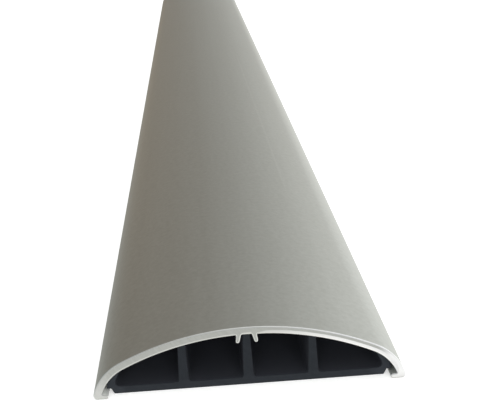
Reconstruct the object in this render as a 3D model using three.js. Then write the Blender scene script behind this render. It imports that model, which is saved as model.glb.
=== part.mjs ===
import * as THREE from "three";

// Four-compartment floor trunking: a ribbed plastic base and a low arched aluminium cover that clips over it.
// Millimetres. X runs across the trunking, Y along it, Z up. The origin is the middle of the underside.

// Overall sizes
const LENGTH = 1000; // of the cover, end to end
const WIDTH = 92; // over the cover's feet
const HEIGHT = 20; // from the floor to the crown

// Cover
const COVER_WALL = 2.25;
const SIDE_RADIUS = 16; // outer round at each side
const SIDE_LEAN = THREE.MathUtils.degToRad(11); // how far a side leans inwards where it meets the floor
const FOOT_RADIUS = 1.2; // outer corner at the floor
const LIP_THICKNESS = 1.5; // turned-in lip under each edge of the base
const LIP_REACH = 2.1; // from the wall's inner face to the lip's tip
const LIP_CORNER_RADIUS = 0.4; // between the lip and the wall
const PRONG_LENGTH = 2.7; // two splayed prongs under the crown hold the middle rib between them
const PRONG_ROOT_WIDTH = 1.5;
const PRONG_TIP_WIDTH = 1.2;
const PRONG_SPLAY = THREE.MathUtils.degToRad(12);
const PRONG_ROOT_RADIUS = 0.3;

// Base
const SETBACK = 2.9; // the base ends this far inside each end of the cover
const FLOOR_THICKNESS = 2.3;
const RIB_PITCH = 19.2;
const RIB_TOP_WIDTH = 2.1;
const RIB_FOOT_WIDTH = 3.1;
const RIB_ROOT_RADIUS = 0.8;
const EDGE_LEAN = THREE.MathUtils.degToRad(26); // the base's edges lean inwards over its floor
const EDGE_FOOT_WIDTH = 1.7; // from the base's outer face to the edge's inner face, at floor level
const EDGE_TIP_WIDTH = 0.6;
const EDGE_ROOT_RADIUS = 1.4;
const STEP_DRAFT = 0.9; // how much the step above the lip widens on its way up
const STEP_CORNER_RADIUS = 0.5;

// Clearances
const RIB_GAP = 0.3; // between a rib's top and the cover
const PRONG_GAP = 0.45; // between the middle rib and each prong's root
const LIP_GAP = 0.3; // between the lip's top and the base's edge above it
const LIP_SIDE_GAP = 0.6; // between the lip's tip and the step beside it
const LIP_OVERLAP = 0.6; // how far the base's edge reaches out over the lip
const EDGE_GAP = 0.4; // between the edge's curved back and the cover's wall

const ARC_ERROR = 0.008; // largest distance from a true arc to its facets

// The cover's arcs: each side arc touches the foot's round, whose outermost point is the cover's side.
// The crown arc meets both side arcs smoothly, and its radius follows from that.
const side = { x: 0, z: -SIDE_RADIUS * Math.sin(SIDE_LEAN) };
const footRise = FOOT_RADIUS - side.z;
side.x = WIDTH / 2 - FOOT_RADIUS - Math.sqrt((SIDE_RADIUS - FOOT_RADIUS) ** 2 - footRise ** 2);
const sideDrop = HEIGHT - side.z;
const CROWN_RADIUS = (side.x ** 2 + sideDrop ** 2 - SIDE_RADIUS ** 2) / (2 * (sideDrop - SIDE_RADIUS));
const crown = { x: 0, z: HEIGHT - CROWN_RADIUS };
const JUNCTION = Math.atan2(side.z - crown.z, side.x);
const CROWN_INNER = CROWN_RADIUS - COVER_WALL;
const SIDE_INNER = SIDE_RADIUS - COVER_WALL;

// Places that both pieces share
const lipTipX = side.x + Math.sqrt(SIDE_INNER ** 2 - (LIP_THICKNESS - side.z) ** 2) - LIP_REACH;
const baseEdgeX = lipTipX + LIP_OVERLAP;
const undersideOfCover = (x) => crown.z + Math.sqrt(CROWN_INNER ** 2 - x ** 2);

function point(x, z) {
  return new THREE.Vector2(x, z);
}

// Points of an arc about a centre, from one angle to another, in radians from +X
function arc(centre, radius, from, to) {
  const widest = 2 * Math.acos(1 - ARC_ERROR / radius);
  const steps = Math.max(2, Math.ceil(Math.abs(to - from) / widest));
  const points = [];
  for (let i = 0; i <= steps; i++) {
    const angle = from + ((to - from) * i) / steps;
    points.push(point(centre.x + radius * Math.cos(angle), centre.z + radius * Math.sin(angle)));
  }
  return points;
}

// Points of the arc that rounds the corner between two straight stretches
function rounded(before, corner, after, radius) {
  const back = before.clone().sub(corner).normalize();
  const on = after.clone().sub(corner).normalize();
  const halfAngle = Math.acos(back.dot(on)) / 2;
  const middle = back.clone().add(on).normalize().multiplyScalar(radius / Math.sin(halfAngle)).add(corner);
  const start = back.multiplyScalar(radius / Math.tan(halfAngle)).add(corner).sub(middle).angle();
  const end = on.multiplyScalar(radius / Math.tan(halfAngle)).add(corner).sub(middle).angle();
  const turn = THREE.MathUtils.euclideanModulo(end - start + Math.PI, 2 * Math.PI) - Math.PI;
  return arc({ x: middle.x, z: middle.y }, radius, start, start + turn);
}

// Where a line that starts inside a circle leaves it
function leavesCircle(start, direction, centre, radius) {
  const from = point(start.x - centre.x, start.y - centre.z);
  const along = from.dot(direction);
  const reach = -along + Math.sqrt(along ** 2 - from.lengthSq() + radius ** 2);
  return direction.clone().multiplyScalar(reach).add(start);
}

// The centre of a circle that touches a level line and the side arc from within
function cornerCentre(level, radius, sideRadius) {
  const z = level + radius;
  return { x: side.x + Math.sqrt((sideRadius - radius) ** 2 - (z - side.z) ** 2), z };
}

function angleFromSide(centre) {
  return Math.atan2(centre.z - side.z, centre.x - side.x);
}

// One prong, from its outer root round the tip to its inner root
function prong() {
  const rootInner = RIB_TOP_WIDTH / 2 + PRONG_GAP;
  const rootOuter = rootInner + PRONG_ROOT_WIDTH;
  const rootX = (rootInner + rootOuter) / 2;
  const tipRadius = PRONG_TIP_WIDTH / 2;
  const reach = PRONG_LENGTH - tipRadius;
  const tip = {
    x: rootX + reach * Math.sin(PRONG_SPLAY),
    z: undersideOfCover(rootX) - reach * Math.cos(PRONG_SPLAY),
  };
  const tipArc = arc(tip, tipRadius, PRONG_SPLAY, PRONG_SPLAY - Math.PI);
  const onCover = (x) => point(x, undersideOfCover(x));
  const outerNeighbour = onCover(rootOuter + PRONG_ROOT_WIDTH);
  return [
    ...rounded(outerNeighbour, onCover(rootOuter), tipArc[0], PRONG_ROOT_RADIUS),
    ...tipArc,
    ...rounded(tipArc.at(-1), onCover(rootInner), onCover(0), PRONG_ROOT_RADIUS),
  ];
}

// Right half of the cover's section, from the crown's top round to the crown's underside
function coverHalf() {
  const foot = cornerCentre(0, FOOT_RADIUS, SIDE_RADIUS);
  const lipCorner = cornerCentre(LIP_THICKNESS, LIP_CORNER_RADIUS, SIDE_INNER);
  const lipTip = { x: lipTipX + LIP_THICKNESS / 2, z: LIP_THICKNESS / 2 };
  const prongPoints = prong();
  const prongAngle = Math.atan2(prongPoints[0].y - crown.z, prongPoints[0].x);
  return [
    ...arc(crown, CROWN_RADIUS, Math.PI / 2, JUNCTION),
    ...arc(side, SIDE_RADIUS, JUNCTION, angleFromSide(foot)),
    ...arc(foot, FOOT_RADIUS, angleFromSide(foot), -Math.PI / 2),
    ...arc(lipTip, LIP_THICKNESS / 2, -Math.PI / 2, (-3 * Math.PI) / 2),
    ...arc(lipCorner, LIP_CORNER_RADIUS, -Math.PI / 2, angleFromSide(lipCorner)),
    ...arc(side, SIDE_INNER, angleFromSide(lipCorner), JUNCTION),
    ...arc(crown, CROWN_INNER, JUNCTION, prongAngle),
    ...prongPoints,
  ];
}

// One side of a rib, from its root on the floor to its top edge
function ribSide(ribX, direction) {
  const topX = ribX + (direction * RIB_TOP_WIDTH) / 2;
  const top = point(topX, undersideOfCover(topX) - RIB_GAP);
  const footX = ribX + (direction * RIB_FOOT_WIDTH) / 2;
  const foot = point(footX, FLOOR_THICKNESS);
  const onFloor = point(footX + direction * RIB_PITCH, FLOOR_THICKNESS);
  return [...rounded(onFloor, foot, top, RIB_ROOT_RADIUS), top];
}

// Right half of the base's section, from the middle of its underside round to the middle rib's top
function baseHalf() {
  const stepLevel = LIP_THICKNESS + LIP_GAP;
  const stepTop = point(lipTipX - LIP_SIDE_GAP, stepLevel);
  const stepFoot = point(stepTop.x - STEP_DRAFT, 0);
  const edgeBottom = point(baseEdgeX, stepLevel);
  const backRadius = SIDE_INNER - EDGE_GAP;
  const backStart = Math.acos((baseEdgeX - side.x) / backRadius);
  const edgeFoot = point(baseEdgeX - EDGE_FOOT_WIDTH, FLOOR_THICKNESS);
  const upEdge = point(-Math.sin(EDGE_LEAN), Math.cos(EDGE_LEAN));
  const acrossTip = point(Math.cos(EDGE_LEAN), Math.sin(EDGE_LEAN)).multiplyScalar(EDGE_TIP_WIDTH);
  const tipOuter = leavesCircle(edgeFoot.clone().add(acrossTip), upEdge, side, backRadius);
  const tipInner = tipOuter.clone().sub(acrossTip);
  const tipAngle = angleFromSide({ x: tipOuter.x, z: tipOuter.y });
  const onFloor = point(RIB_PITCH, FLOOR_THICKNESS);
  return [
    ...rounded(point(0, 0), stepFoot, stepTop, STEP_CORNER_RADIUS),
    stepTop,
    edgeBottom,
    ...arc(side, backRadius, backStart, tipAngle),
    tipInner,
    ...rounded(tipInner, edgeFoot, onFloor, EDGE_ROOT_RADIUS),
    ...ribSide(RIB_PITCH, 1),
    ...ribSide(RIB_PITCH, -1).reverse(),
    ...ribSide(0, 1),
  ];
}

// A length of stock along Y, centred, whose section is the given right half and its mirror image
function stock(name, half, length, material) {
  const mirrored = half.map((p) => point(-p.x, p.y)).reverse();
  const near = (p, q) => p.distanceTo(q) < 1e-6;
  const outline = [...half, ...mirrored].filter((p, i, all) => !near(p, all.at(i - 1)));
  const solid = new THREE.ExtrudeGeometry(new THREE.Shape(outline), { depth: length, bevelEnabled: false });
  const mesh = new THREE.Mesh(solid, material);
  mesh.name = name;
  mesh.rotation.x = Math.PI / 2;
  mesh.position.y = length / 2;
  return mesh;
}

const anodised = new THREE.MeshStandardMaterial({ color: 0xb4b3ac, roughness: 0.4, metalness: 0.9 });
const anthracite = new THREE.MeshStandardMaterial({ color: 0x2c3038, roughness: 0.6, metalness: 0 });

const trunking = new THREE.Group();
trunking.add(stock("cover", coverHalf(), LENGTH, anodised));
trunking.add(stock("base", baseHalf(), LENGTH - 2 * SETBACK, anthracite));

export default trunking;
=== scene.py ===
import math

import bmesh
import bpy
from mathutils import Matrix, Vector
from mathutils.bvhtree import BVHTree


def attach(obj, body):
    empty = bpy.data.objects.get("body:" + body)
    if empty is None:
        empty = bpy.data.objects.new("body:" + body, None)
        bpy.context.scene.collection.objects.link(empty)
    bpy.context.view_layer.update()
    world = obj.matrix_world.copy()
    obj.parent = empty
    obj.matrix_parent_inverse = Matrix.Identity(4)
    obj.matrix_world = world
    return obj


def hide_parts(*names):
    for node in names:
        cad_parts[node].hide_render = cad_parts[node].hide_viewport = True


# Floor trunking: a satin anodised aluminium cover over a ribbed anthracite plastic base.
# Metres. X runs across the trunking, Y along it, Z up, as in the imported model.
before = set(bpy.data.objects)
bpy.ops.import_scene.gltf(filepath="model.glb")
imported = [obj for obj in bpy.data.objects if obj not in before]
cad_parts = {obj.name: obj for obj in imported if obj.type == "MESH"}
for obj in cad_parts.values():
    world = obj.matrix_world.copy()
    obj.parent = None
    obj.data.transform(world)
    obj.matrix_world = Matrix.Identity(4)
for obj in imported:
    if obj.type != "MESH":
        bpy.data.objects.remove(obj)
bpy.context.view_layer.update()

MM = 0.001

# Photograph
FRAME_WIDTH = 500  # pixels
FRAME_HEIGHT = 400
FOCAL_LENGTH = 936.0  # pixels
VIEW_CENTRE = (205, 195)  # pixel that the camera points at
SENSOR_WIDTH = 36  # millimetres on the camera's sensor
EYE = Vector((-8.8, -743.15, 140.7)) * MM
TURNED_RIGHT = math.radians(-0.04)
TILTED_DOWN = math.radians(18.19)
ROLLED = math.radians(-4.216)
NEAREST_SEEN = 0.01
FARTHEST_SEEN = 100

# Shapes
MERGE_DISTANCE = 0.001 * MM
FLAT_WITHIN = math.radians(0.3)
SHARP_ABOVE = math.radians(25)
END_FACING = 0.99  # a face whose normal lies this much along Y is a sawn end
WALL = (2.2 * MM, 2.28 * MM)  # the cover's wall is between these
INSIDE_HEIGHT = 4 * MM  # height of a line inside the cover: its inner faces look towards it
LIP_UNDERSIDE = 1 * MM  # faces lower than this that look down belong to the skin
LOOKS_DOWN = -0.1  # a face looks down where the upward part of its normal is below this
UNDER_SURFACE = 0.01 * MM  # how far under a face the measuring of the wall starts
OUTER_RIM = 0.32 * MM  # chamfer on the outer edge of the cover's sawn ends
RIM_STEPS = 2  # facets across that chamfer
INNER_RIM = 0.42 * MM  # filed edge round the inside of the sawn ends
FILED_WIDTH = 1.2 * MM  # of the filed inner edge at its widest, towards the right foot
FILED_DEPTH = 0.3  # depth of the filed edge as a share of its width
FILED_BREAK = (0.5, 0.22)  # the rounder part of the filed edge: shares of its width and of its depth
FILED_ACROSS = (-10 * MM, 12 * MM)  # across the section, between which the filed edge widens
FILED_ABOVE_LIP = (1.6 * MM, 4 * MM)  # heights between which the filed edge grows from the lip up
PRONG_AT = 3.1 * MM  # from the middle, where the filed edge stays narrow
BESIDE_PRONG = (1.2 * MM, 2.2 * MM)
PLASTIC_CORNER = 0.15 * MM  # round on the base's long corners
PLASTIC_CORNER_STEPS = 2
PLASTIC_RIM = 0.12 * MM  # chamfer on the base's sawn ends
FLOOR_RADIUS = 30
FLOOR_SIDES = 64

# Light: where each glow in the room comes from, how narrow it is, and its colour and strength
ROOM = (0.09, 0.097, 0.09)
GLOWS = (
    ((1, 0.3, 0.1), 2, (1.46, 1.475, 1.47)),  # wide and bright on the right
    ((0, 0, -1), 1, (0.93, 0.92, 0.88)),  # white from below
    ((-0.3, 1, 0.1), 8, (0.23, 0.175, 0.137)),  # warm ahead
    ((-0.2, 1, 0.0), 60, (0.10, 0.05, 0.0)),  # warm and low ahead, left and right
    ((0.2, 1, 0.0), 60, (0.06, 0.03, 0.0)),
    ((0.3, 1, -0.06), 60, (0.55, 0.54, 0.53)),  # pale and low far ahead, right and left
    ((-0.18, 1, -0.1), 60, (0.20, 0.165, 0.12)),
    ((-1, 0.2, -0.2), 4, (0.25, 0.30, 0.32)),  # low on the left
    ((-1, -0.4, 0.4), 10, (0.5, 0.5, 0.5)),  # upper left, behind the camera
    ((0, -1, 0.1), 2, (0.3, 0.3, 0.3)),  # behind the camera
    ((0, 0, 1), 6, (0.9, 0.9, 0.9)),  # above
)
BACKDROP = (1, 1, 1, 1)

# Wide lamps that light the floor and the plastic but don't mirror in the metal
CEILING_LAMP = 0.9
CEILING_WIDTH = math.radians(110)
LOW_LAMPS = (  # behind the camera, low enough to shine into the compartments: strength, turn to the right
    (1.4, math.radians(15)),
    (1.25, math.radians(-15)),
)
LOW_LAMP_HEIGHT = math.radians(12)
LOW_LAMP_WIDTH = math.radians(22)
FLOOR_COLOUR = (0.86, 0.86, 0.86, 1)
FLOOR_ROUGHNESS = 0.9
FLOOR_GLOW = 0.45  # keeps the floor pale close to the object
FLOOR_GLOW_COLOUR = (1, 1, 1, 1)

# Finishes: a pair of colours runs from a finish's darker patches to its paler ones
SKIN_COLOURS = ((0.515, 0.525, 0.492, 1), (0.613, 0.624, 0.593, 1))
SKIN_ROUGHNESS = 0.38
SAWN_COLOURS = ((0.57, 0.58, 0.555, 1), (0.82, 0.83, 0.81, 1))
SAWN_ROUGHNESS = 0.46
# paler than the skin: a painted lift of light on the cover's shaded inside
INSIDE_COLOURS = ((0.78, 0.79, 0.76, 1), (0.88, 0.89, 0.87, 1))
INSIDE_ROUGHNESS = 0.6
# The feet's white on the sawn ends is filed metal made whiter by a painted highlight from the right
FILED_AND_LIT_FOOT_COLOUR = (0.98, 0.98, 0.99, 1)
# A filed edge pales from its left colour to its right one: a painted highlight from the right
FILED_LEFT_COLOUR = (0.74, 0.75, 0.73, 1)
DEBURRED_LEFT_COLOUR = (0.96, 0.97, 0.95, 1)
FILED_RIGHT_COLOUR = (0.96, 0.96, 0.97, 1)
LOWEST_COLOUR = (0.5, 0.5, 0.48, 1)  # of the edges next to the floor
FILED_ROUGHNESS = 0.38
PLASTIC_COLOURS = ((0.029, 0.031, 0.039, 1), (0.039, 0.042, 0.051, 1))
PLASTIC_ROUGHNESS = 0.5
SAWN_PLASTIC_COLOURS = ((0.008, 0.010, 0.0125, 1), (0.0215, 0.0245, 0.0295, 1))
SAWN_PLASTIC_ROUGHNESS = 0.55
ALUMINIUM_DRAWN = (1, 0.012, 1)  # scale that draws a pattern out along the length
PLASTIC_DRAWN = (1, 0.015, 1)
FILE_STROKES = (1, 0.2, 1)
SAW_CENTRE = (90 * MM, 0, 110 * MM)  # of the blade that cut the ends, seen along the stock

# Where a finish changes over the section: each pair is the start and the end of a soft change
SAWN_FEET = (1 * MM, 7 * MM)  # upwards: the feet's end faces are paler
LEFT_FOOT = (-45 * MM, -40 * MM)  # rightwards
RIGHT_FOOT = (37 * MM, 42 * MM)
LEFT_FOOT_FILED_AND_LIT = 0.35  # how much the left foot is whitened, next to the right foot's 1: filed metal and a painted highlight from the right
FOOT_TILT = 0.25  # how far a filed foot leans down, as a slope
FOOT_RISE = (0, 2 * MM)  # upwards, where the right foot's duller part begins
FOOT_DULLNESS = 0.16  # how much less metallic that part is
LIP_SIDE = (-41 * MM, -39 * MM)  # rightwards, the end of the left lip
LIP_TOP = (2.2 * MM, 3.4 * MM)  # upwards, the end of what counts as the left lip's top
LIP_DULLNESS = 0.6
FILED_PAINTED_HIGHLIGHT = (0, 32 * MM)  # rightwards, over which a filed edge gets brighter: a painted highlight from the right
FILED_DULLNESS = 0.1
LOWEST_EDGE = (0.2 * MM, 1 * MM)  # upwards
PLASTIC_EDGES = (35 * MM, 39 * MM)  # outwards from the middle, where the sawn plastic is paler
PLASTIC_FLOOR = (1.5 * MM, 4 * MM)  # upwards, where the sawn plastic's paler floor ends

# A painted reflection streak on the skin, seen from above: where it starts, its slant and its reach
STREAK_START = (22.9 * MM, -70 * MM)
STREAK_SLANT = -0.0085  # across per length
STREAK_END = -335 * MM
STREAK_FADE = 50 * MM
STREAK_WIDTH = 0.9 * MM

# Material slots of a piece, in their order on the mesh
SKIN, SAWN, FILED, RIM, INSIDE = range(5)


class Value:
    """A number, colour or vector in a shader. Arithmetic on a number adds Math nodes."""

    def __init__(self, nodes, socket):
        self.nodes = nodes
        self.socket = socket

    def __add__(self, other):
        return self.nodes.maths("ADD", self, other)

    def __radd__(self, other):
        return self.nodes.maths("ADD", other, self)

    def __sub__(self, other):
        return self.nodes.maths("SUBTRACT", self, other)

    def __rsub__(self, other):
        return self.nodes.maths("SUBTRACT", other, self)

    def __mul__(self, other):
        return self.nodes.maths("MULTIPLY", self, other)

    def __pow__(self, other):
        return self.nodes.maths("POWER", self, other)


class Nodes:
    """The nodes of one material, or of the room's light."""

    def __init__(self, owner):
        owner.use_nodes = True
        self.tree = owner.node_tree

    def add(self, kind, settings=None, inputs=None, output=0):
        """Adds a node: first its settings, then the values or links of its sockets. Gives one output."""
        node = self.tree.nodes.new("ShaderNode" + kind)
        for name, setting in (settings or {}).items():
            setattr(node, name, setting)
        for name, value in (inputs or {}).items():
            self.feed(node, name, value)
        if isinstance(output, str):
            return Value(self, node.outputs[output])
        return Value(self, [socket for socket in node.outputs if socket.enabled][output])

    def feed(self, node, name, value):
        """Links a socket to a value, or sets it to a plain number, colour or vector."""
        sockets = [socket for socket in node.inputs if socket.enabled]
        socket = sockets[name] if isinstance(name, int) else next(s for s in sockets if s.name == name)
        if isinstance(value, Value):
            self.tree.links.new(value.socket, socket)
        else:
            socket.default_value = value

    def maths(self, operation, first, second):
        return self.add("Math", {"operation": operation}, {0: first, 1: second})

    def size_of(self, value):
        """The value without its sign."""
        return self.add("Math", {"operation": "ABSOLUTE"}, {0: value})

    def limited(self, value):
        """The value kept between 0 and 1."""
        return self.add("Clamp", {}, {"Value": value})

    def ramp(self, value, start, end):
        """0 where the value is below start, 1 above end, and smooth between them."""
        settings = {"interpolation_type": "SMOOTHSTEP"}
        return self.add("MapRange", settings, {"Value": value, "From Min": start, "From Max": end})

    def mix(self, share, first, second):
        """A colour between two colours."""
        return self.add("Mix", {"data_type": "RGBA"}, {"Factor": share, "A": first, "B": second})

    def place(self):
        return self.add("TexCoord", {}, {}, "Object")

    def stretched(self, place, scale):
        return self.add("Mapping", {"vector_type": "POINT"}, {"Vector": place, "Scale": scale})

    def noise(self, place, size, detail=2.0, roughness=0.5):
        """Soft random patches, from 0 to 1, about the given size across."""
        inputs = {"Vector": place, "Scale": 1 / size, "Detail": detail, "Roughness": roughness}
        return self.add("TexNoise", {"noise_dimensions": "3D"}, inputs)

    def saw_lines(self, place, spacing):
        """Fine curved lines round the centre of the saw blade."""
        radius = self.add("VectorMath", {"operation": "DISTANCE"}, {0: place, 1: SAW_CENTRE}, "Value")
        inputs = {"W": radius, "Scale": 1 / spacing, "Detail": 2.0}
        return self.add("TexNoise", {"noise_dimensions": "1D"}, inputs)

    def along(self, place, axis):
        """One coordinate of a place."""
        return self.add("SeparateXYZ", {}, {"Vector": place}, axis)

    def bump(self, height, depth, strength=1.0):
        """Small relief: the depth is how far apart the heights 0 and 1 lie."""
        return self.add("Bump", {}, {"Strength": strength, "Distance": depth, "Height": height})

    def glow(self, direction, towards, sharpness, colour):
        """Soft light from one side, fading with the angle away from it."""
        centre = Vector(towards).normalized()
        facing = self.add("VectorMath", {"operation": "DOT_PRODUCT"}, {0: direction, 1: centre}, "Value")
        amount = self.limited(facing) ** sharpness
        return self.add("VectorMath", {"operation": "SCALE"}, {"Vector": colour, "Scale": amount})

    def sum(self, first, second):
        """Two colours or vectors added."""
        return self.add("VectorMath", {"operation": "ADD"}, {0: first, 1: second})


def new_material(name, **constants):
    """A material and its shader, with the values that are the same all over the surface."""
    material = bpy.data.materials.new(name)
    nodes = Nodes(material)
    shader = nodes.tree.nodes["Principled BSDF"]
    for socket, value in constants.items():
        shader.inputs[socket.replace("_", " ")].default_value = value
    return material, nodes, shader


def satin_anodised():
    """The drawn and anodised skin: a soft grey sheen with faint bands and fine lines along the length, and a
    painted reflection streak.
    """
    material, nodes, shader = new_material("satin_anodised_aluminium", Metallic=1.0)
    place = nodes.place()
    drawn = nodes.stretched(place, ALUMINIUM_DRAWN)
    bands = nodes.noise(drawn, 9 * MM, detail=3, roughness=0.55)
    lines = nodes.noise(drawn, 0.7 * MM, roughness=0.6)
    grain = nodes.noise(place, 0.35 * MM)
    mottle = nodes.noise(place, 1.8 * MM, detail=3, roughness=0.7)
    clouds = nodes.noise(place, 60 * MM)
    # bands and lines are the skin's own; the last term paints a reflection streak into the colour
    streaks = bands * 0.5 + lines * 0.15 + painted_reflection_streak(nodes, place) * 0.3
    patches = grain * 0.25 + clouds * 0.1 + (mottle - 0.5) * 1.7
    tone = nodes.limited(streaks + patches)
    nodes.feed(shader, "Base Color", nodes.mix(tone, *SKIN_COLOURS))
    nodes.feed(shader, "Roughness", SKIN_ROUGHNESS + bands * 0.05 + lines * 0.04 + grain * 0.05)
    nodes.feed(shader, "Normal", nodes.bump(lines * 0.6 + grain * 0.4, 0.005 * MM, strength=0.8))
    return material


def painted_reflection_streak(nodes, place):
    """1 along the painted reflection streak on the skin, 0 away from it."""
    lengthwise = nodes.along(place, "Y")
    aside = nodes.along(place, "X") - (STREAK_START[0] + (lengthwise - STREAK_START[1]) * STREAK_SLANT)
    beside = nodes.ramp(nodes.size_of(aside), 0, STREAK_WIDTH)
    before = nodes.ramp(lengthwise, STREAK_END - STREAK_FADE, STREAK_END)
    beyond = nodes.ramp(lengthwise, STREAK_START[1], STREAK_START[1] + STREAK_FADE)
    return (1 - beside) * before * (1 - beyond)


def sawn_aluminium():
    """The end that the saw left: bare metal with fine curved lines, its right foot filed and bright, its
    whiteness partly a painted highlight from the right.
    """
    material, nodes, shader = new_material("sawn_aluminium")
    place = nodes.place()
    upwards = nodes.along(place, "Z")
    rightwards = nodes.along(place, "X")
    saw_lines = nodes.saw_lines(place, 0.32 * MM)
    pits = nodes.noise(place, 0.5 * MM)
    feet = 1 - nodes.ramp(upwards, *SAWN_FEET)
    right_foot = nodes.ramp(rightwards, *RIGHT_FOOT)
    # painted highlight: the right foot, and the left foot less, whiten on top of their filed metal
    filed_and_lit_foot = right_foot + (1 - nodes.ramp(rightwards, *LEFT_FOOT)) * LEFT_FOOT_FILED_AND_LIT
    tone = nodes.limited(saw_lines * 0.5 + pits * 0.3 + feet * 0.5)
    bare = nodes.mix(tone, *SAWN_COLOURS)
    dull_foot = right_foot * nodes.ramp(upwards, *FOOT_RISE)
    height = (saw_lines * 0.8 + pits * 0.2) * (0.005 * MM) + filed_and_lit_foot * upwards * FOOT_TILT
    nodes.feed(shader, "Base Color", nodes.mix(filed_and_lit_foot, bare, FILED_AND_LIT_FOOT_COLOUR))
    nodes.feed(shader, "Metallic", 1 - dull_foot * FOOT_DULLNESS)
    nodes.feed(shader, "Roughness", SAWN_ROUGHNESS + saw_lines * 0.08)
    nodes.feed(shader, "Normal", nodes.bump(height, depth=1.0))
    return material


def plain_anodised():
    """The inside of the cover: anodised too, but rougher, and paler than the skin, which paints light onto
    its shaded faces. The left lip's top is the dullest.
    """
    material, nodes, shader = new_material("plain_anodised_aluminium")
    place = nodes.place()
    left_side = 1 - nodes.ramp(nodes.along(place, "X"), *LIP_SIDE)
    left_lip = left_side * (1 - nodes.ramp(nodes.along(place, "Z"), *LIP_TOP))
    lines = nodes.noise(nodes.stretched(place, ALUMINIUM_DRAWN), 1.2 * MM, roughness=0.6)
    grain = nodes.noise(place, 0.4 * MM)
    tone = nodes.limited(lines * 0.7 + grain * 0.3)
    nodes.feed(shader, "Base Color", nodes.mix(tone, *INSIDE_COLOURS))
    nodes.feed(shader, "Metallic", 1 - left_lip * LIP_DULLNESS)
    nodes.feed(shader, "Roughness", INSIDE_ROUGHNESS + grain * 0.1)
    nodes.feed(shader, "Normal", nodes.bump(tone, 0.006 * MM, strength=0.6))
    return material


def filed_aluminium(name, left_colour):
    """An edge where the burr was filed off: bare metal with short file strokes, brightest to the right
    through a painted highlight.
    """
    material, nodes, shader = new_material(name)
    place = nodes.place()
    strokes = nodes.noise(nodes.stretched(place, FILE_STROKES), 0.25 * MM)
    # painted highlight: the edge's colour pales towards the right
    rightwards = nodes.ramp(nodes.along(place, "X"), *FILED_PAINTED_HIGHLIGHT)
    bright = nodes.mix(nodes.limited(rightwards + strokes * 0.1), left_colour, FILED_RIGHT_COLOUR)
    lowest = 1 - nodes.ramp(nodes.along(place, "Z"), *LOWEST_EDGE)
    nodes.feed(shader, "Base Color", nodes.mix(lowest, bright, LOWEST_COLOUR))
    nodes.feed(shader, "Metallic", 1 - rightwards * FILED_DULLNESS)
    nodes.feed(shader, "Roughness", FILED_ROUGHNESS + strokes * 0.1)
    nodes.feed(shader, "Normal", nodes.bump(strokes, 0.006 * MM, strength=0.4))
    return material


def matt_anthracite():
    """Extruded plastic: dark blue-grey, matt, with faint lines along the length."""
    material, nodes, shader = new_material("matt_anthracite_plastic", Metallic=0.0, Specular_IOR_Level=0.25)
    place = nodes.place()
    drawn = nodes.stretched(place, PLASTIC_DRAWN)
    bands = nodes.noise(drawn, 4 * MM, detail=3)
    lines = nodes.noise(drawn, 0.5 * MM)
    grain = nodes.noise(place, 0.3 * MM, detail=3)
    tone = nodes.limited(bands * 0.6 + grain * 0.4)
    nodes.feed(shader, "Base Color", nodes.mix(tone, *PLASTIC_COLOURS))
    nodes.feed(shader, "Roughness", PLASTIC_ROUGHNESS + bands * 0.08 + grain * 0.06)
    nodes.feed(shader, "Normal", nodes.bump(lines * 0.6 + grain * 0.4, 0.008 * MM, strength=0.6))
    return material


def sawn_plastic():
    """The base's cut end, with saw lines and scuffs, palest at its floor and its edges."""
    material, nodes, shader = new_material("sawn_anthracite_plastic", Metallic=0.0, Specular_IOR_Level=0.15)
    place = nodes.place()
    saw_lines = nodes.saw_lines(place, 0.4 * MM)
    scuffs = nodes.noise(place, 1.2 * MM, detail=3)
    edges = nodes.ramp(nodes.size_of(nodes.along(place, "X")), *PLASTIC_EDGES)
    floor = 1 - nodes.ramp(nodes.along(place, "Z"), *PLASTIC_FLOOR)
    tone = nodes.limited(saw_lines * 0.3 + scuffs * 0.3 + edges * 0.4 + floor * 0.2)
    nodes.feed(shader, "Base Color", nodes.mix(tone, *SAWN_PLASTIC_COLOURS))
    nodes.feed(shader, "Roughness", SAWN_PLASTIC_ROUGHNESS + scuffs * 0.1)
    nodes.feed(shader, "Normal", nodes.bump(saw_lines * 0.6 + scuffs * 0.4, 0.02 * MM, strength=0.6))
    return material


def merged_copy(node):
    """The CAD node's shape as one closed mesh, each flat face whole."""
    shape = bmesh.new()
    shape.from_mesh(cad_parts[node].data)
    bmesh.ops.remove_doubles(shape, verts=shape.verts, dist=MERGE_DISTANCE)
    bmesh.ops.dissolve_limit(shape, angle_limit=FLAT_WITHIN, verts=shape.verts, edges=shape.edges)
    for face in shape.faces:
        face.material_index = SKIN
    return shape


def is_end(face):
    """True for a face of the two sawn ends."""
    return abs(face.normal.y) > END_FACING


def finish_ends(shape):
    """Gives the two ends their sawn finish."""
    for face in shape.faces:
        if is_end(face):
            face.material_index = SAWN


def bevel(shape, edges, width, segments):
    """Bevels edges and gives the new faces."""
    made = bmesh.ops.bevel(
        shape, geom=edges, offset=width, offset_type="OFFSET", segments=segments, profile=0.5,
        affect="EDGES", material=-1,
    )
    return made["faces"]


def round_long_corners(shape, radius):
    """Rounds the corners that run the length of the stock."""
    corners = [
        edge for edge in shape.edges
        if edge.calc_face_angle(0) > SHARP_ABOVE and not any(is_end(face) for face in edge.link_faces)
    ]
    bevel(shape, corners, radius, PLASTIC_CORNER_STEPS)


def chamfer_ends(shape, width, segments):
    """Breaks the sharp edges round both sawn ends, and gives the chamfers' faces."""
    rims = [edge for edge in shape.edges if any(is_end(face) for face in edge.link_faces)]
    return bevel(shape, rims, width, segments)


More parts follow.
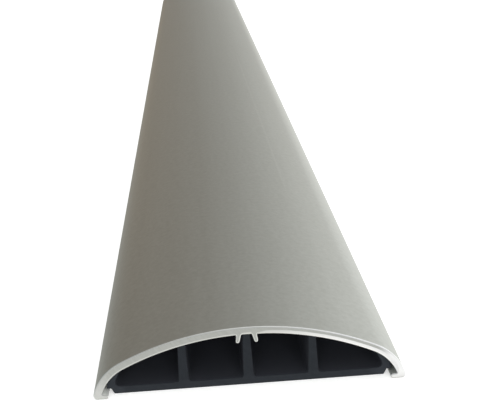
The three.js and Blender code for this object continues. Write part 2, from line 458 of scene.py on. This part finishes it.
def file_inner_edge(rims, inner_faces):
    """Flattens the chamfer on the cover's inner edge, and widens it towards the right foot."""
    crossing = {
        edge for face in rims for edge in face.edges
        if abs(edge.verts[0].co.y - edge.verts[1].co.y) > MERGE_DISTANCE
    }
    columns = {}
    for edge in crossing:
        for vertex in edge.verts:
            columns.setdefault(vertex, set()).add(edge.other_vert(vertex))
    moved = []
    for middle, ends in columns.items():
        if len(ends) != 2:
            continue
        on_wall, on_end = sorted(ends, key=lambda vertex: abs(vertex.co.y))
        if not any(face in inner_faces for face in on_wall.link_faces):
            continue
        corner = Vector((on_wall.co.x, on_end.co.y, on_wall.co.z))
        across = (on_end.co - corner) / OUTER_RIM
        along = (on_wall.co - corner) / OUTER_RIM
        share = smooth_step(corner.x, *FILED_ACROSS) * smooth_step(corner.z, *FILED_ABOVE_LIP)
        share *= smooth_step(abs(abs(corner.x) - PRONG_AT), *BESIDE_PRONG)
        width = INNER_RIM + share * (FILED_WIDTH - INNER_RIM)
        depth = width * FILED_DEPTH
        moved += [
            (on_end, corner + across * width),
            (middle, corner + across * width * FILED_BREAK[0] + along * depth * FILED_BREAK[1]),
            (on_wall, corner + along * depth),
        ]
        for face in middle.link_faces:
            face.material_index = FILED
    for vertex, place in moved:
        vertex.co = place


def smooth_step(value, start, end):
    """0 where the value is below start, 1 above end, and smooth between them."""
    share = min(max((value - start) / (end - start), 0), 1)
    return share * share * (3 - 2 * share)


def make_piece(shape, name, node, materials):
    """Turns a finished mesh into the piece that stands for a CAD node."""
    for face in shape.faces:
        face.smooth = True
    for edge in shape.edges:
        finishes = {face.material_index for face in edge.link_faces}
        edge.smooth = edge.calc_face_angle(0) < SHARP_ABOVE and len(finishes) == 1
    mesh = bpy.data.meshes.new(name)
    shape.to_mesh(mesh)
    shape.free()
    for material in materials:
        mesh.materials.append(material)
    piece = bpy.data.objects.new(name, mesh)
    bpy.context.scene.collection.objects.link(piece)
    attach(piece, "root")
    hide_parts(node)


def make_cover():
    """The aluminium cover, its skin anodised and its ends sawn and deburred."""
    shape = merged_copy("cover")
    inner = shape.faces.layers.int.new("inner")
    tree = BVHTree.FromBMesh(shape)
    for face in shape.faces:
        face[inner] = is_inner_wall(face, tree)
        if not faces_away(face):
            face.material_index = INSIDE
    finish_ends(shape)
    rims = chamfer_ends(shape, OUTER_RIM, RIM_STEPS)
    for face in rims:
        face.material_index = RIM
    inner_faces = {face for face in shape.faces if face[inner] and face.material_index == INSIDE}
    file_inner_edge(rims, inner_faces)
    shape.normal_update()
    shape.faces.layers.int.remove(inner)
    filed = filed_aluminium("filed_aluminium", FILED_LEFT_COLOUR)
    rim = filed_aluminium("deburred_aluminium", DEBURRED_LEFT_COLOUR)
    materials = [satin_anodised(), sawn_aluminium(), filed, rim, plain_anodised()]
    make_piece(shape, "cover_profile", "cover", materials)


def faces_away(face):
    """True for a face of the cover that looks away from a line inside it, or down at the floor."""
    centre = face.calc_center_median()
    from_inside = Vector((centre.x, 0, centre.z - INSIDE_HEIGHT))
    looks_at_floor = centre.z < LIP_UNDERSIDE and face.normal.z < LOOKS_DOWN
    return from_inside.dot(face.normal) > 0 or looks_at_floor


def is_inner_wall(face, tree):
    """True for the inner side of the cover's wall, away from its lips and prongs."""
    start = face.calc_center_median() - face.normal * UNDER_SURFACE
    hit, _, _, thickness = tree.ray_cast(start, -face.normal)
    return not faces_away(face) and hit is not None and WALL[0] < thickness < WALL[1]


def make_base():
    """The plastic base, its long corners slightly rounded and its ends sawn."""
    shape = merged_copy("base")
    round_long_corners(shape, PLASTIC_CORNER)
    finish_ends(shape)
    for face in chamfer_ends(shape, PLASTIC_RIM, 1):
        face.material_index = SAWN
    shape.normal_update()
    make_piece(shape, "base_profile", "base", [matt_anthracite(), sawn_plastic()])


def make_floor():
    """A plain pale floor, far wider than the view."""
    shape = bmesh.new()
    bmesh.ops.create_circle(shape, cap_ends=True, segments=FLOOR_SIDES, radius=FLOOR_RADIUS)
    mesh = bpy.data.meshes.new("floor")
    shape.to_mesh(mesh)
    shape.free()
    material, _, _ = new_material(
        "pale_floor", Metallic=0.0, Base_Color=FLOOR_COLOUR, Roughness=FLOOR_ROUGHNESS,
        Emission_Color=FLOOR_GLOW_COLOUR, Emission_Strength=FLOOR_GLOW,
    )
    mesh.materials.append(material)
    floor = bpy.data.objects.new("floor", mesh)
    bpy.context.scene.collection.objects.link(floor)
    floor.visible_glossy = False


def light_the_room():
    """Soft light from all round: brightest from the right and from below, where a pale floor shines back."""
    world = bpy.data.worlds.new("room")
    bpy.context.scene.world = world
    nodes = Nodes(world)
    direction = nodes.add("TexCoord", {}, {}, "Generated")
    light = ROOM
    for towards, sharpness, colour in GLOWS:
        light = nodes.sum(light, nodes.glow(direction, towards, sharpness, colour))
    seen = nodes.add("LightPath", {}, {}, "Is Camera Ray")
    nodes.feed(nodes.tree.nodes["Background"], "Color", nodes.mix(seen, light, BACKDROP))
    add_lamp("ceiling_lamp", CEILING_LAMP, CEILING_WIDTH, 0, 0)
    for strength, turn in LOW_LAMPS:
        add_lamp("low_lamp", strength, LOW_LAMP_WIDTH, math.pi / 2 - LOW_LAMP_HEIGHT, turn)


def add_lamp(name, strength, width, tilt, turn):
    """A wide far-off lamp, straight above or tilted towards the camera's side and turned to the right."""
    data = bpy.data.lights.new(name, "SUN")
    data.energy = strength
    data.angle = width
    lamp = bpy.data.objects.new(name, data)
    lamp.rotation_euler = (tilt, 0, turn)
    lamp.visible_glossy = False
    bpy.context.scene.collection.objects.link(lamp)


def make_camera():
    """The photograph's camera."""
    data = bpy.data.cameras.new("camera")
    data.sensor_fit = "HORIZONTAL"
    data.sensor_width = SENSOR_WIDTH
    data.lens = FOCAL_LENGTH / FRAME_WIDTH * SENSOR_WIDTH
    data.shift_x = (FRAME_WIDTH / 2 - VIEW_CENTRE[0]) / FRAME_WIDTH
    data.shift_y = (VIEW_CENTRE[1] - FRAME_HEIGHT / 2) / FRAME_WIDTH
    data.clip_start = NEAREST_SEEN
    data.clip_end = FARTHEST_SEEN
    camera = bpy.data.objects.new("camera", data)
    turn = Matrix.Rotation(-TURNED_RIGHT, 4, "Z") @ Matrix.Rotation(math.pi / 2 - TILTED_DOWN, 4, "X")
    camera.matrix_world = Matrix.Translation(EYE) @ turn @ Matrix.Rotation(ROLLED, 4, "Z")
    bpy.context.scene.collection.objects.link(camera)
    bpy.context.scene.camera = camera


bpy.context.scene.view_settings.view_transform = "Standard"
make_camera()
make_floor()
light_the_room()
make_cover()
make_base()
